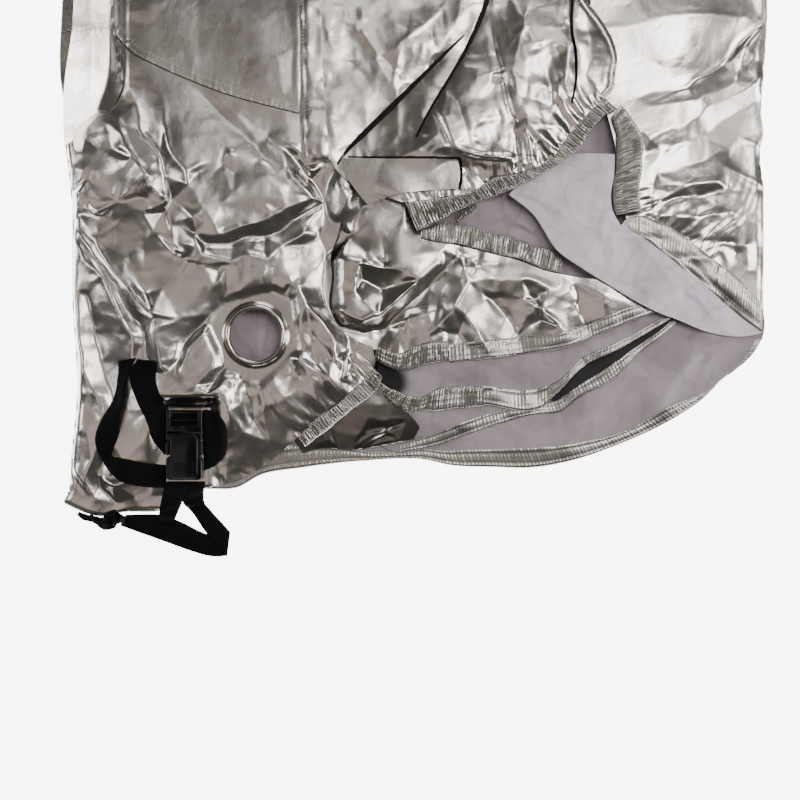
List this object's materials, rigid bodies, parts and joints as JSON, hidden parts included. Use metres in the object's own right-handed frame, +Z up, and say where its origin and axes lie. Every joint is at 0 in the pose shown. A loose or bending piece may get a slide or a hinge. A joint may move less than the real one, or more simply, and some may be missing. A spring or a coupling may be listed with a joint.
{
  "type": "motorcycle cover",
  "caption": "Silver coated motorcycle cover folded flat, with gathered elastic hems, a turned-back lining side, a metal eyelet and a black strap with a buckle.",
  "frame": {"origin": "on the surface that the cover lies on, under the middle of its outline with the strap", "axes": "+X to the right of the folded cover, +Y towards its upper folded edge, +Z up off the surface"},
  "size_m": [0.7142, 0.6191, 0.0387],
  "materials": {
    "silver_cloth": "silver coated woven polyester, glossy and crumpled",
    "lining_side": "matt pale lavender grey uncoated side",
    "elastic_hem": "silver coated hem gathered on stitched elastic",
    "webbing": "black woven polypropylene webbing",
    "buckle_plastic": "black moulded acetal, glossy",
    "eyelet_metal": "warm polished nickel"
  },
  "bodies": {
    "root": {"back_panel": "silver_cloth", "third_layer": "lining_side", "second_layer": "lining_side", "front_skirt": "silver_cloth", "turned_flap": "lining_side", "left_panel": "silver_cloth", "upper_left_panel": "silver_cloth", "corner_fold": "silver_cloth", "centre_panel": "silver_cloth", "upper_elastic": "elastic_hem", "right_elastic": "elastic_hem", "inner_elastic": "elastic_hem", "skirt_elastic": "elastic_hem", "second_elastic": "elastic_hem", "left_elastic": "elastic_hem", "eyelet_ring": "eyelet_metal", "eyelet_washer": "eyelet_metal", "strap_left_leg": "webbing", "strap_right_leg": "webbing", "strap_loop": "webbing", "strap_tail": "webbing", "strap_knot": "webbing", "strap_side_fold": "webbing", "buckle_plug": "buckle_plastic", "buckle_socket": "buckle_plastic"}
  },
  "joints": []
}
